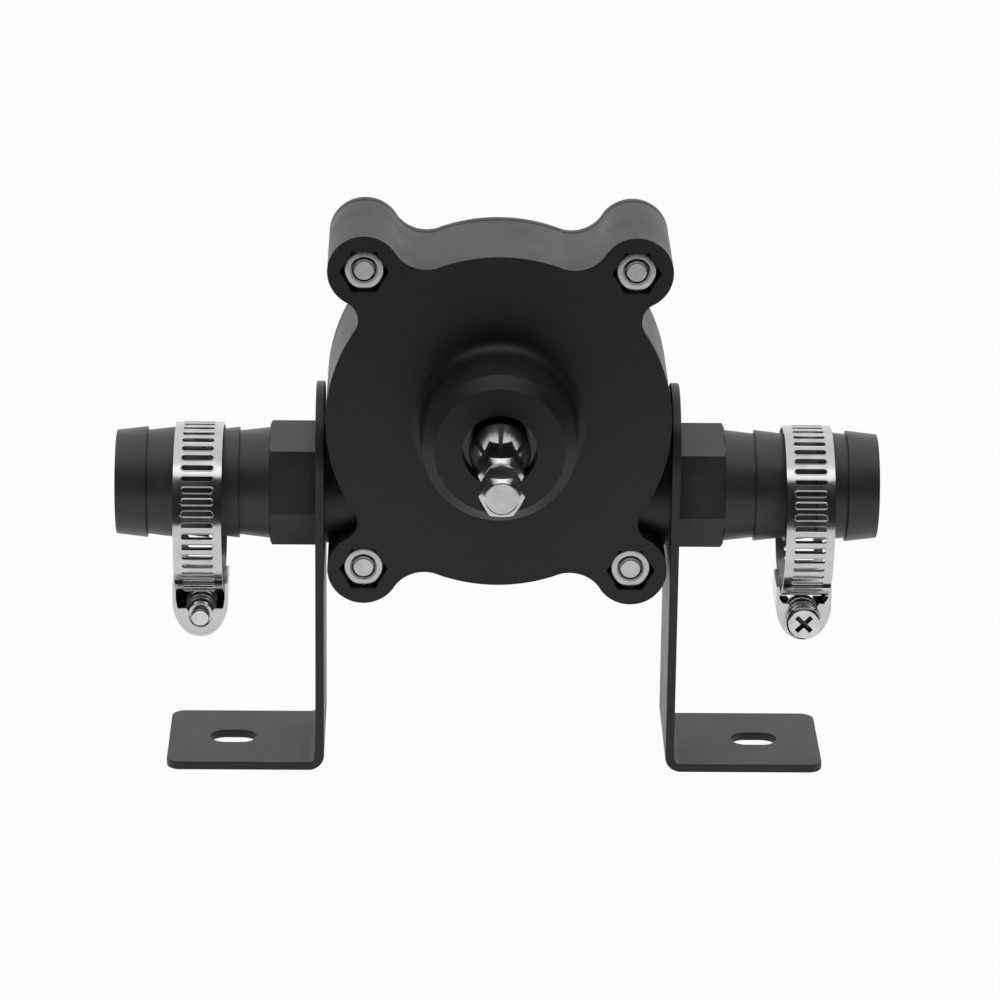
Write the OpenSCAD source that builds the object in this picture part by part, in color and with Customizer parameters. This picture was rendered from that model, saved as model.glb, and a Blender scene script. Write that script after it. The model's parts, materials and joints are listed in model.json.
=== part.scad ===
// Self-priming flexible-impeller pump, turned by the hex shank of its shaft.
// Origin: midway between the two foot slots, on the surface the feet stand on.
// +X runs along the two hose barbs, +Z is up, and the shank points along -Y.
// All sizes are in millimetres.

/* [Layout] */
// Height of the hose barb axis above the feet
port_h = 71; // [65:1:80]
// Height of the shaft axis above the barb axis
shaft_rise = 22.2; // [19:0.2:24]
// Distance from the front face back to the barb axis
port_setback = 17.7; // [16.5:0.1:18.5]

/* [Body] */
// Radius of the pumping chamber
chamber_r = 34; // [31:0.5:36]
// Depth of the pumping chamber
chamber_len = 26; // [25:0.5:28]
// Thickness of the wall around the chamber
body_wall = 8.6; // [7.5:0.1:10]
// Thickness of the wall in front of the chamber
front_wall = 5; // [4:0.5:6]
// Height of the cam that bends the vanes at the bottom of the chamber
cam_h = 5.5; // [4:0.5:6.5]
// Radius of the cam surface
cam_r = 38; // [37:0.5:40]
// Distance from the shaft to each bolt, sideways
bolt_x = 33.2; // [32:0.2:36]
// Distance from the shaft to each bolt, up and down
bolt_z = 38.6; // [37.5:0.2:42]
// Radius of the lobe around each bolt
lobe_r = 9; // [8:0.2:10]
// Blend radius between a lobe and the top or bottom of the body
blend_top_r = 9; // [6:0.5:12]
// Blend radius between a lobe and the side of the body
blend_side_r = 5; // [4.5:0.1:6.5]
// Radius of the port boss on each side
boss_r = 15; // [14:0.5:16]
// How far each port boss stands out past the round side
boss_stand = 0.4; // [0.2:0.1:2]

/* [Nose] */
// Wall of the nose around the bearing
nose_wall = 2.7; // [2.2:0.1:4]
// Length of the nose in front of the body
nose_len = 21; // [19:0.5:25]
// Width of the sloped edge at the nose face, across the face
nose_slope_r = 2.8; // [1:0.1:3]
// Length of the sloped edge, along the nose
nose_slope_len = 2.5; // [1:0.1:4]
// Blend radius where the nose meets the body
nose_blend_r = 4; // [2:0.5:6]
// Thickness of the lip in front of the bearing
nose_lip = 3; // [2:0.5:4]
// Clearance around the shaft in the lip's hole
nose_hole_gap = 1.6; // [1:0.1:2.5]

/* [Bearing and seal] */
// Bore of the ball bearing
bearing_id = 15; // [14:0.5:16]
// Outside diameter of the ball bearing
bearing_od = 32; // [31:0.5:35]
// Width of the ball bearing
bearing_w = 9; // [8:0.5:10]
// Diameter of a ball
ball_d = 4.76; // [4:0.01:5]
// Number of balls
ball_count = 9; // [7:1:10]
// Thickness of the retaining ring behind the bearing
ring_t = 1.2; // [1:0.1:1.5]
// Width of the shaft seal
seal_w = 7; // [6:0.5:8]

/* [Shaft] */
// Width across the flats of the hex shank
shank_af = 9.5; // [8:0.1:10]
// Length from the nose face to the tip of the shank
shank_out = 33.7; // [30:0.1:40]
// Length of the hex in front of the groove
shank_tip_len = 10; // [8:0.5:12]
// Length of the groove in the shank
groove_len = 4.4; // [3:0.2:6]
// Radius at the bottom of the groove
groove_r = 3.9; // [3:0.1:4.2]
// Length of the cone between the hex and the round shaft
cone_len = 6; // [4:0.5:7]
// How far the round shaft stands out of the nose face
shaft_proud = 1.5; // [0.5:0.1:3]
// Radius of the seat that carries the impeller hub
seat_r = 6; // [5:0.1:6.5]
// Radius of the journal that turns in the rear bush
journal_r = 4; // [3:0.1:4.5]

/* [Impeller] */
// Number of vanes
vane_count = 6; // [5:1:8]
// Radius of the rubber around the hub
rubber_r = 13; // [12:0.5:14]
// Radius of the hub insert
hub_r = 10; // [8.5:0.5:10.5]
// Thickness of a vane
vane_t = 2.6; // [2:0.1:3]
// Radius of the bead at the tip of a vane
bead_r = 2; // [1.6:0.1:2.4]

/* [Rear cover] */
// Thickness of the rear cover
cover_t = 3; // [2.5:0.1:5]
// Thickness of the gasket under the cover
gasket_t = 0.5; // [0.3:0.1:1]
// Height of the bush boss inside the cover
bush_boss_h = 4; // [3:0.5:5]
// Wall of the rear bush
bush_wall = 2; // [1:0.1:2.5]

/* [Bolts] */
// Diameter of the bolts
bolt_d = 6; // [5:0.5:6.5]
// Width across the flats of the nuts and bolt heads
nut_af = 10; // [9.5:0.1:11]
// Height of a nut
nut_h = 5; // [4:0.1:6]
// Depth of a nut's face below the front of its lobe
nut_recess = 1.5; // [0.5:0.1:3]
// Height of a bolt head
head_h = 4; // [3:0.1:5]
// Radius of a washer
washer_r = 6; // [5.8:0.1:7]
// Thickness of a washer
washer_t = 1.6; // [1:0.1:2]

/* [Hose barbs] */
// Width across the flats of the barb's hex
hex_af = 27; // [25:0.5:29]
// Length of the barb's hex
hex_len = 11.5; // [9:0.5:14]
// Length of the toothed part of the barb
barb_len = 38.3; // [36:0.1:45]
// Number of teeth on the barb
barb_teeth = 5; // [4:1:6]
// Radius at the top of a tooth
ridge_r = 13.9; // [13.5:0.1:14.5]
// Depth of a tooth
tooth_h = 0.9; // [0.5:0.1:1.2]
// Radius of the bore in the toothed part
barb_bore_r = 10; // [9:0.1:11]
// Radius of the bore through the threaded end and into the chamber
port_bore_r = 8; // [7:0.1:8.5]
// Radius of the barb's thread
thread_r = 10.45; // [10:0.05:11]
// Length of thread inside the body
thread_in = 9; // [7:0.5:10]
// Thickness of the sealing washer at the bottom of the thread
port_seal_t = 1.5; // [1:0.1:2]
// Turn of the left hex about the barb axis, in degrees
left_hex_turn = 41; // [0:1:60]
// Turn of the right hex about the barb axis, in degrees
right_hex_turn = -17; // [-30:1:30]

/* [Brackets] */
// Width of the bracket
strap_w = 34.4; // [32:0.2:40]
// Thickness of the bracket
strap_t = 2.2; // [1.5:0.1:3]
// Height of the bracket's round top above the barb axis
strap_top = 26; // [24:0.5:30]
// Length of the foot, from the upright's inner face
foot_len = 39.8; // [36:0.2:45]
// Outside radius of the bend
bend_r = 4; // [3.2:0.1:6]
// Radius of the foot's outer corners
foot_corner_r = 3.5; // [2:0.1:6]
// Distance from the upright's inner face to the middle of the slot
slot_out = 23.4; // [20:0.2:26]
// Length of the foot slot, end to end
slot_len = 11.5; // [9:0.5:14]
// Width of the foot slot
slot_w = 7.5; // [5:0.5:8]

/* [Hose clamps] */
// Inside radius of the clamp band
band_ri = 20.4; // [19:0.1:23]
// Thickness of the band
band_t = 0.6; // [0.5:0.1:0.9]
// Width of the band
band_w = 12; // [10:0.2:12.8]
// Distance between the slots along the band
thread_pitch = 2.9; // [2.6:0.1:3.5]
// Length of a slot in the band
band_slot_len = 7.8; // [6:0.1:8.5]
// Width of a slot in the band
band_slot_w = 1.3; // [0.8:0.1:1.6]
// Distance from the left barb's tip to the middle of its clamp
left_clamp_in = 20.7; // [16:0.1:24]
// Distance from the right barb's tip to the middle of its clamp
right_clamp_in = 17.5; // [16:0.1:24]
// Outside radius of the clamp screw's worm
worm_r = 4; // [3:0.1:4.4]
// Room between the band and the worm, where the band's loose end passes
worm_room = 2.5; // [1.2:0.1:3]
// Length of the worm
worm_len = 10.8; // [9:0.2:13]
// Radius of the clamp screw's head
screw_head_r = 4.4; // [3.5:0.1:4.8]
// Height of the clamp screw's head
screw_head_h = 2.6; // [2:0.1:4]
// Radius of the clamp screw's tail
screw_tail_r = 2.3; // [1.8:0.1:2.6]
// Thickness of the clamp's screw housing
shell_t = 0.8; // [0.5:0.1:1.2]

/* [Hidden] */
$fn = 64;

LEFT = -1;
RIGHT = 1;
cut = 1;               // how far a cutting shape runs past what it cuts
fit = 0.03;            // running clearance of a turning fit, on the radius
gap = 0.3;             // clearance between loose or moving pieces
bite = 0.05;           // how far a blend cuts past the surfaces it joins
spare = 2;             // extra length that a later cut takes off again

// Stations along the shaft, from front to back
front_y = -port_setback;
nose_y = front_y - nose_len;
tip_y = nose_y - shank_out;
floor_y = front_y + front_wall;
seat_y = floor_y + chamber_len;
gasket_y = seat_y + gasket_t;
back_y = gasket_y + cover_t;
bearing_y = nose_y + nose_lip;
ring_y = bearing_y + bearing_w;
seal_y = floor_y - seal_w - 1.3;
seal_web_t = 1.4;
seal_lip_t = 2.3;      // thickness of the lip where the spring sits behind it
spring_r = 0.6;
shaft_h = port_h + shaft_rise;

// Body
body_r = chamber_r + body_wall;
boss_x = max(body_r, bolt_x + lobe_r) + boss_stand;
nose_r = bearing_od / 2 + nose_wall;
nose_hole_r = bearing_id / 2 + nose_hole_gap;
nut_clear = 0.2;
bolt_hole_r = bolt_d / 2 + gap;
nut_y = front_y + nut_recess;
wear_t = 0.8;
bush_r = journal_r + bush_wall;
boss_front_y = gasket_y - bush_boss_h;
bush_floor_y = back_y - 1.5;

// Bearing
bearing_r = bearing_id / 2;
bearing_R = bearing_od / 2;
ball_orbit_r = (bearing_r + bearing_R) / 2;
groove_ball_r = ball_d / 2 + 0.05;
inner_land_r = ball_orbit_r - ball_d / 2 + 0.85;
outer_land_r = ball_orbit_r + ball_d / 2 - 0.85;
shield_t = 0.5;
cage_t = 0.9;
cage_half_w = ball_d / 2 + 0.8;

// Shaft and impeller
collar_r = bearing_r + 2;
collar_len = 1.8;
wheel_gap = 0.2;
tip_gap = 0.3;
wheel_front_y = floor_y + wear_t + wheel_gap;
wheel_back_y = seat_y - wheel_gap;
hub_back_y = boss_front_y - gap;
pin_r = 1.5;
vane_lean = 9;         // degrees that a free vane trails at its tip
vane_bend = 3.2;       // degrees of extra trail for each millimetre the cam takes
vane_steps = 6;

// Barbs
thread_end_x = boss_x - thread_in;
port_step_x = thread_end_x - port_seal_t;
strap_x = boss_x + strap_t;
hex_x = strap_x + hex_len;
barb_x = hex_x + barb_len;
tooth_len = barb_len / barb_teeth;
valley_r = ridge_r - tooth_h;

// Brackets
strap_round_r = strap_w / 2;
strap_hole_r = thread_r + 0.35;
foot_x = boss_x + foot_len;
slot_x = boss_x + slot_out;

// Hose clamps, each in its own frame: origin at the middle of its loop
band_ro = band_ri + band_t;
loop_drop = band_ri - ridge_r - gap;
screw_drop = band_ro + worm_room + worm_r;
shell_len = worm_len + 2 * shell_t + 2 * gap;
shell_half = band_w / 2 + 0.15 + shell_t;
shell_bottom_r = worm_r + gap + shell_t;
shell_shoulder = 3.2;  // height of the shell's widest line above the screw
saddle_angle = 18;
loose_end_angle = 40;   // from the bottom of the loop to each end of the band's second layer
screw_root_r = worm_r - 0.8;

// ---------- shapes used by several pieces ----------

// A flat outline in X and Z, given thickness from y0 back to y1
module plate_y(y0, y1) {
    translate([0, y1, 0]) rotate([90, 0, 0]) linear_extrude(y1 - y0) children();
}

// A profile of [radius, y] points, turned around the shaft axis
module turned_y(points) {
    translate([0, 0, shaft_h]) rotate([-90, 0, 0]) rotate_extrude() polygon(points);
}

// A profile of [radius, x] points, turned around the barb axis
module turned_x(points) {
    translate([0, 0, port_h]) rotate([0, 90, 0]) rotate_extrude() polygon(points);
}

// A flat ring around the shaft axis
module ring_y(inner, outer, y0, y1) {
    turned_y([[inner, y0], [outer, y0], [outer, y1], [inner, y1]]);
}

// A hexagon, by its width across the flats
module hexagon(across) {
    circle(r = across / sqrt(3), $fn = 6);
}

// Places a child at each of the four bolts
module at_bolts() {
    for (sx = [-1, 1], sz = [-1, 1])
        translate([sx * bolt_x, 0, shaft_h + sz * bolt_z]) children();
}

// Mirrors a right-hand piece to the left when side is LEFT
module on_side(side) {
    mirror([side == LEFT ? 1 : 0, 0, 0]) children();
}

// Centre of a blend circle that touches the body circle and a lobe circle
function blend_centre(blend, turn, inset) =
    let (reach = norm([bolt_x, bolt_z]),
        a = body_r - inset + blend + inset,
        b = lobe_r - inset + blend + inset,
        angle = acos((a * a + reach * reach - b * b) / (2 * a * reach)),
        heading = atan2(bolt_z, bolt_x) + turn * angle)
    [a * cos(heading), a * sin(heading)];

// One lobe with its two blends into the round body
module lobe(inset) {
    top = blend_centre(blend_top_r, 1, inset);
    side = blend_centre(blend_side_r, -1, inset);
    translate([bolt_x, bolt_z]) circle(lobe_r - inset);
    difference() {
        polygon([[0, 0], side, [bolt_x, bolt_z], top]);
        translate(top) circle(blend_top_r + inset + bite);
        translate(side) circle(blend_side_r + inset + bite);
    }
}

// Outline shared by the housing, the gasket and the cover, around the shaft axis
module body_outline(inset = 0) {
    translate([0, shaft_h]) {
        circle(body_r - inset);
        for (mx = [0, 1], mz = [0, 1])
            mirror([mx, 0]) mirror([0, mz]) lobe(inset);
    }
}

// Outline of the chamber: a circle, flattened below by the cam
module chamber_outline(inset = 0) {
    translate([0, shaft_h]) intersection() {
        circle(chamber_r - inset);
        translate([0, cam_r - chamber_r + cam_h]) circle(cam_r - inset);
    }
}

// Distance from the shaft to the chamber wall in the direction a
function wall_r(a) =
    let (rise = cam_r - chamber_r + cam_h,
        cam_wall = rise * sin(a) + sqrt(cam_r * cam_r - pow(rise * cos(a), 2)))
    min(chamber_r, cam_wall);

// ---------- body ----------

// The body with its nose, longer at the back by a spare length that the slab cuts off
module body_form() {
    difference() {
        union() {
            plate_y(front_y, seat_y + spare) body_outline();
            nose();
            for (side = [LEFT, RIGHT]) on_side(side) port_boss();
        }
        plate_y(floor_y, seat_y + 3 * spare) chamber_outline();
        slab(seat_y, seat_y + 4 * spare);
        bearing_bore();
        for (side = [LEFT, RIGHT]) on_side(side) port_hole();
        at_bolts() {
            plate_y(front_y - cut, seat_y + cut) circle(bolt_hole_r);
            plate_y(front_y - cut, nut_y + nut_h) hexagon(nut_af + 2 * nut_clear);
        }
    }
}

// A block wider and taller than the body, from y0 back to y1
module slab(y0, y1) {
    translate([-2 * body_r, y0, 0]) cube([4 * body_r, y1 - y0, 4 * body_r]);
}

// The chamber wall with its two ports
module pump_housing() {
    color("#2b2b2b") difference() {
        body_form();
        slab(nose_y - spare, floor_y);
    }
}

// The front wall with the nose that holds the bearing
module nose_housing() {
    color("#2b2b2b") difference() {
        body_form();
        slab(floor_y, seat_y + spare);
    }
}

// Nose around the bearing, blended into the front of the body
module nose() {
    blend_y = nose_blend_r - 2 * bite;
    translate([0, front_y, shaft_h]) rotate([90, 0, 0]) rotate_extrude() difference() {
        polygon([[0, -cut], [nose_r + nose_blend_r, -cut], [nose_r + nose_blend_r, blend_y],
            [nose_r, blend_y], [nose_r, nose_len - nose_slope_len],
            [nose_r - nose_slope_r, nose_len], [0, nose_len]]);
        translate([nose_r + nose_blend_r, blend_y]) circle(nose_blend_r);
    }
}

// Round boss for a port
module port_boss() {
    translate([body_r / 2, 0, port_h]) rotate([90, 0, 90])
        linear_extrude(boss_x - body_r / 2) circle(boss_r);
}

// Stepped bore for the shaft, the bearing, its ring and the seal
module bearing_bore() {
    turned_y([[0, nose_y - cut], [nose_hole_r, nose_y - cut], [nose_hole_r, bearing_y],
        [bearing_R, bearing_y], [bearing_R, ring_y], [bearing_R + 0.8, ring_y],
        [bearing_R + 0.8, ring_y + ring_t], [bearing_R, ring_y + ring_t],
        [bearing_R, floor_y + cut], [0, floor_y + cut]]);
}

// Tapped port with a narrower passage into the chamber
module port_hole() {
    turned_x([[0, chamber_r / 2], [port_bore_r, chamber_r / 2], [port_bore_r, port_step_x],
        [thread_r, port_step_x], [thread_r, boss_x + cut], [0, boss_x + cut]]);
}

module rear_cover() {
    color("#2b2b2b") difference() {
        union() {
            plate_y(gasket_y, back_y) body_outline();
            ring_y(0, bush_r + 2, boss_front_y, gasket_y + cut);
        }
        ring_y(0, bush_r, boss_front_y - cut, bush_floor_y);
        at_bolts() plate_y(gasket_y - cut, back_y + cut) circle(bolt_hole_r);
    }
}

module cover_gasket() {
    color("#1d1d1d") difference() {
        plate_y(seat_y, gasket_y) body_outline(0.3);
        plate_y(seat_y - cut, gasket_y + cut) chamber_outline();
        at_bolts() plate_y(seat_y - cut, gasket_y + cut) circle(bolt_hole_r);
    }
}

// Bolts come in from behind; their ends finish level with the nuts
module housing_bolts() {
    head_y = back_y + washer_t;
    end_y = nut_y - 0.4;
    color("#c8c8c8") at_bolts() {
        rotate([-90, 0, 0]) rotate_extrude() polygon([[0, end_y], [bolt_d / 2 - 0.6, end_y],
            [bolt_d / 2, end_y + 0.8], [bolt_d / 2, head_y + cut], [0, head_y + cut]]);
        intersection() {
            plate_y(head_y, head_y + head_h) hexagon(nut_af);
            rotate([-90, 0, 0]) rotate_extrude() polygon([[0, head_y], [nut_af, head_y],
                [nut_af * 0.6, head_y + head_h - 0.5], [nut_af * 0.48, head_y + head_h],
                [0, head_y + head_h]]);
        }
    }
}

module bolt_washers() {
    color("#c8c8c8") at_bolts() difference() {
        plate_y(back_y, back_y + washer_t) circle(washer_r);
        plate_y(back_y - cut, back_y + washer_t + cut) circle(bolt_d / 2 + 0.2);
    }
}

// Nuts with sloped corners and a countersunk thread, in the housing's pockets
module housing_nuts() {
    edge_r = nut_af * 0.47;
    color("#d4d4d4") at_bolts() difference() {
        intersection() {
            plate_y(nut_y, nut_y + nut_h) hexagon(nut_af);
            rotate([-90, 0, 0]) rotate_extrude() polygon([[0, nut_y], [edge_r, nut_y],
                [edge_r + 2, nut_y + 1], [edge_r + 2, nut_y + nut_h], [0, nut_y + nut_h]]);
        }
        rotate([-90, 0, 0]) rotate_extrude() polygon([[0, nut_y - cut],
            [bolt_d / 2 + 0.4, nut_y - cut], [bolt_d / 2 + 0.4, nut_y],
            [bolt_d / 2, nut_y + 0.4], [bolt_d / 2, nut_y + nut_h + cut],
            [0, nut_y + nut_h + cut]]);
    }
}

// ---------- bearing and seal ----------

// Groove in a race: the path of a slightly larger ball around the shaft
module ball_path() {
    translate([0, bearing_y + bearing_w / 2, shaft_h]) rotate([90, 0, 0])
        rotate_extrude() translate([ball_orbit_r, 0]) circle(groove_ball_r);
}

module bearing_outer_race() {
    color("#9a9a9a") difference() {
        ring_y(outer_land_r, bearing_R, bearing_y, ring_y);
        ball_path();
    }
}

module bearing_inner_race() {
    color("#9a9a9a") difference() {
        ring_y(bearing_r, inner_land_r, bearing_y, ring_y);
        ball_path();
    }
}

module bearing_shields() {
    color("#333333") {
        ring_y(inner_land_r + gap, outer_land_r, bearing_y + 0.2, bearing_y + 0.2 + shield_t);
        ring_y(inner_land_r + gap, outer_land_r, ring_y - 0.2 - shield_t, ring_y - 0.2);
    }
}

// Places a child at each ball, with its Z axis pointing away from the shaft
module at_balls() {
    translate([0, bearing_y + bearing_w / 2, shaft_h])
        for (i = [0 : ball_count - 1]) rotate([0, i * 360 / ball_count, 0]) children();
}

module bearing_balls() {
    color("#c0c0c0") at_balls() translate([0, 0, ball_orbit_r]) sphere(ball_d / 2);
}

module bearing_cage() {
    mid_y = bearing_y + bearing_w / 2;
    color("#b08a3c") difference() {
        ring_y(ball_orbit_r - cage_t / 2, ball_orbit_r + cage_t / 2,
            mid_y - cage_half_w, mid_y + cage_half_w);
        at_balls() translate([0, 0, ball_orbit_r - 2]) cylinder(r = ball_d / 2 + 0.06, h = 4);
    }
}

// Retaining ring in its groove behind the bearing, open at the bottom
module bearing_ring() {
    color("#555555") difference() {
        ring_y(bearing_R - 1.8, bearing_R + 0.8, ring_y, ring_y + ring_t);
        translate([-2.5, ring_y - cut, shaft_h - bearing_R - 2])
            cube([5, ring_t + 2 * cut, 5]);
    }
}

// Rubber lip seal: a pressed-in rim, a web and a lip that runs on the shaft
module shaft_seal() {
    lip_r = bearing_r + fit;
    back = seal_y + seal_w;
    lip_y = back - 1.5;
    color("#181818") difference() {
        turned_y([[lip_r + seal_lip_t, seal_y], [bearing_R, seal_y], [bearing_R, back],
            [bearing_R - seal_web_t, back], [bearing_R - seal_web_t, seal_y + seal_web_t],
            [lip_r + seal_lip_t + spring_r, seal_y + seal_web_t], [lip_r + seal_lip_t, lip_y],
            [lip_r + spring_r, lip_y], [lip_r, lip_y - 0.8]]);
        garter(spring_r + 0.02);
    }
}

// Ring of round section in the back of the seal lip
module garter(section_r) {
    translate([0, seal_y + seal_w - 3, shaft_h]) rotate([90, 0, 0]) rotate_extrude()
        translate([bearing_r + seal_lip_t + spring_r, 0]) circle(section_r);
}

module seal_spring() {
    color("#8c8c8c") garter(spring_r);
}

// ---------- chamber ----------

module wear_plate() {
    color("#a8a8a8") difference() {
        plate_y(floor_y, floor_y + wear_t) chamber_outline(0.15);
        ring_y(0, bearing_r + 0.8, floor_y - cut, floor_y + wear_t + cut);
    }
}

module rear_bush() {
    color("#a97c3a") ring_y(journal_r, bush_r, boss_front_y, bush_floor_y);
}

// Rubber impeller: the vanes nearest the cam are bent further over
module impeller() {
    color("#262626") difference() {
        union() {
            ring_y(hub_r, rubber_r, wheel_front_y, wheel_back_y);
            for (i = [0 : vane_count - 1])
                plate_y(wheel_front_y, wheel_back_y) vane(90 + i * 360 / vane_count);
        }
        ring_y(0, hub_r, wheel_front_y - cut, wheel_back_y + cut);
    }
}

// Middle line of a vane: a point at the share s of the way from hub to bead
function vane_point(heading, tip_r, trail, s) =
    let (r = rubber_r - 1 + s * (tip_r - rubber_r + 1),
        a = heading - trail * s * s)
    [r * cos(a), r * sin(a)];

module vane(heading) {
    pressed = chamber_r - wall_r(heading - vane_lean);
    trail = vane_lean + vane_bend * pressed;
    tip_r = wall_r(heading - trail) - bead_r - tip_gap;
    across = [cos(heading - trail / 2 + 90), sin(heading - trail / 2 + 90)];
    steps = [for (i = [0 : vane_steps]) vane_point(heading, tip_r, trail, i / vane_steps)];
    translate([0, shaft_h]) {
        polygon(concat([for (p = steps) p + across * vane_t / 2],
            [for (i = [vane_steps : -1 : 0]) steps[i] - across * vane_t / 2]));
        translate(steps[vane_steps]) circle(bead_r);
    }
}

module impeller_hub() {
    color("#b08a3c") difference() {
        ring_y(seat_r, hub_r, wheel_front_y, hub_back_y);
        hub_pin_shape(0);
    }
}

// Cross pin that locks the hub to the shaft
module hub_pin_shape(extra) {
    pin_y = (wheel_front_y + hub_back_y) / 2;
    translate([0, pin_y, shaft_h - hub_r + gap])
        cylinder(r = pin_r + extra, h = 2 * (hub_r - gap));
}

module hub_pin() {
    color("#8c8c8c") hub_pin_shape(0);
}

// ---------- shaft ----------

module drive_shaft() {
    past_r = shank_af / sqrt(3) + 0.5;
    hex_end_y = nose_y - shaft_proud - cone_len;
    groove_y = tip_y + shank_tip_len;
    chamfer = 0.8;
    slope = 1.4;
    color("#cfcfcf") difference() {
        union() {
            intersection() {
                translate([0, 0, shaft_h]) plate_y(tip_y, hex_end_y + cone_len) hexagon(shank_af);
                turned_y([[0, tip_y], [shank_af / 2 - chamfer, tip_y], [past_r, tip_y + slope],
                    [past_r, groove_y - slope], [groove_r, groove_y],
                    [groove_r, groove_y + groove_len], [past_r, groove_y + groove_len + slope],
                    [past_r, nose_y], [0, nose_y]]);
            }
            turned_y([[0, hex_end_y], [shank_af / 2, hex_end_y],
                [bearing_r, nose_y - shaft_proud], [bearing_r, ring_y],
                [collar_r, ring_y], [collar_r, ring_y + collar_len],
                [bearing_r, ring_y + collar_len], [bearing_r, wheel_front_y - wheel_gap / 2],
                [seat_r, wheel_front_y - wheel_gap / 2], [seat_r, hub_back_y],
                [journal_r - fit, hub_back_y], [journal_r - fit, bush_floor_y - gap],
                [0, bush_floor_y - gap]]);
        }
        hub_pin_shape(0);
    }
}

// ---------- hose barbs ----------

module barb(turn) {
    // Each tooth rises from its outer end to a ridge on the side nearer the hex
    past_r = hex_af / sqrt(3) + 1;
    teeth = [for (i = [0 : barb_teeth - 1]) each [
        [ridge_r, hex_x + i * tooth_len], [valley_r, hex_x + (i + 1) * tooth_len]]];
    color("#2e2e2e") difference() {
        union() {
            turned_x(concat([[0, thread_end_x], [thread_r, thread_end_x],
                [thread_r, hex_x - 2]], teeth, [[0, barb_x]]));
            intersection() {
                translate([strap_x, 0, port_h]) rotate([0, 90, 0]) rotate([0, 0, turn])
                    linear_extrude(hex_len) hexagon(hex_af);
                turned_x([[0, strap_x], [past_r, strap_x], [past_r, hex_x - 1],
                    [past_r - 2, hex_x], [0, hex_x]]);
            }
        }
        turned_x([[0, thread_end_x - cut], [port_bore_r, thread_end_x - cut],
            [port_bore_r, hex_x], [barb_bore_r, hex_x + 3], [barb_bore_r, barb_x + cut],
            [0, barb_x + cut]]);
    }
}

module port_seal() {
    color("#141414")
        turned_x([[port_bore_r, port_step_x], [thread_r, port_step_x],
            [thread_r, thread_end_x], [port_bore_r, thread_end_x]]);
}

// ---------- brackets ----------

module bracket() {
    color("#3a3a3a") {
        upright();
        bend();
        foot();
    }
}

// Upright with a round top and a hole for the barb's thread
module upright() {
    round_z = port_h + strap_top - strap_round_r;
    translate([boss_x, 0, 0]) rotate([90, 0, 90]) linear_extrude(strap_t) difference() {
        union() {
            translate([-strap_w / 2, bend_r]) square([strap_w, round_z - bend_r]);
            translate([0, round_z]) circle(strap_round_r);
        }
        translate([0, port_h]) circle(strap_hole_r);
    }
}

// Quarter bend between the upright and the foot
module bend() {
    translate([boss_x + bend_r, 0, bend_r]) rotate([90, 0, 0])
        linear_extrude(strap_w, center = true) intersection() {
            difference() {
                circle(bend_r);
                circle(bend_r - strap_t);
            }
            translate([-bend_r, -bend_r]) square(bend_r);
        }
}

// Foot plate with two rounded corners and its slot
module foot() {
    corner_x = foot_x - foot_corner_r;
    corner_y = strap_w / 2 - foot_corner_r;
    linear_extrude(strap_t) difference() {
        union() {
            translate([boss_x + bend_r, -strap_w / 2])
                square([corner_x - boss_x - bend_r, strap_w]);
            translate([corner_x - cut, -corner_y]) square([foot_corner_r + cut, 2 * corner_y]);
            for (sy = [-1, 1]) translate([corner_x, sy * corner_y]) circle(foot_corner_r);
        }
        for (sx = [-1, 1]) translate([slot_x + sx * (slot_len - slot_w) / 2, 0])
            circle(slot_w / 2);
        square_len = slot_len - slot_w;
        translate([slot_x - square_len / 2, -slot_w / 2]) square([square_len, slot_w]);
    }
}

// ---------- hose clamps ----------

// Places a clamp's own frame on its barb; its screw head faces heading (-1 is forward)
module at_clamp(side, inset, heading) {
    translate([side * (barb_x - inset), 0, port_h - loop_drop])
        mirror([0, heading > 0 ? 1 : 0, 0]) children();
}

// Steel band around the barb, slotted all the way round for the worm
module clamp_band() {
    slots = floor(2 * PI * band_ro / thread_pitch);
    color("#c4c4c4") rotate([0, 90, 0]) difference() {
        cylinder(r = band_ro, h = band_w, center = true);
        cylinder(r = band_ri, h = band_w + 2 * cut, center = true);
        for (i = [0 : slots - 1]) rotate([0, 0, (i + 0.5) * 360 / slots])
            translate([band_ri - cut, -band_slot_w / 2, -band_slot_len / 2])
                cube([band_t + 2 * cut, band_slot_w, band_slot_len]);
    }
    loose_end();
}

// End of the band that runs on past the worm, lying on the ring as a second layer
module loose_end() {
    color("#c4c4c4") rotate([0, 90, 0]) rotate([0, 0, -loose_end_angle])
        rotate_extrude(angle = 2 * loose_end_angle)
            translate([band_ro, -band_w / 2]) square([band_t, band_w]);
}

// Section of the screw shell, with X across the band and the screw at the origin
module shell_section(inset) {
    top = screw_drop - band_ri * cos(saddle_angle) + shell_t;
    half = shell_half - inset;
    bottom = shell_bottom_r - inset;
    circle(bottom);
    polygon([[-half, top], [-half, shell_shoulder], [-bottom, -1], [bottom, -1],
        [half, shell_shoulder], [half, top]]);
}

// Folded shell around the worm; its sides run up past the edges of the band
module clamp_shell() {
    near_y = -shell_len / 2;
    tail_hole_r = screw_tail_r + 0.08;
    color("#bdbdbd") {
        translate([0, 0, -screw_drop]) difference() {
            plate_y(near_y, -near_y) shell_section(0);
            plate_y(near_y - cut, -near_y - shell_t) shell_section(shell_t);
            plate_y(near_y - cut, -near_y + cut) {
                circle(tail_hole_r);
                translate([-tail_hole_r, 0]) square([2 * tail_hole_r, screw_drop]);
                translate([-shell_half + shell_t, shell_shoulder])
                    square([2 * (shell_half - shell_t), screw_drop]);
            }
        }
        saddle();
    }
}

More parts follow.
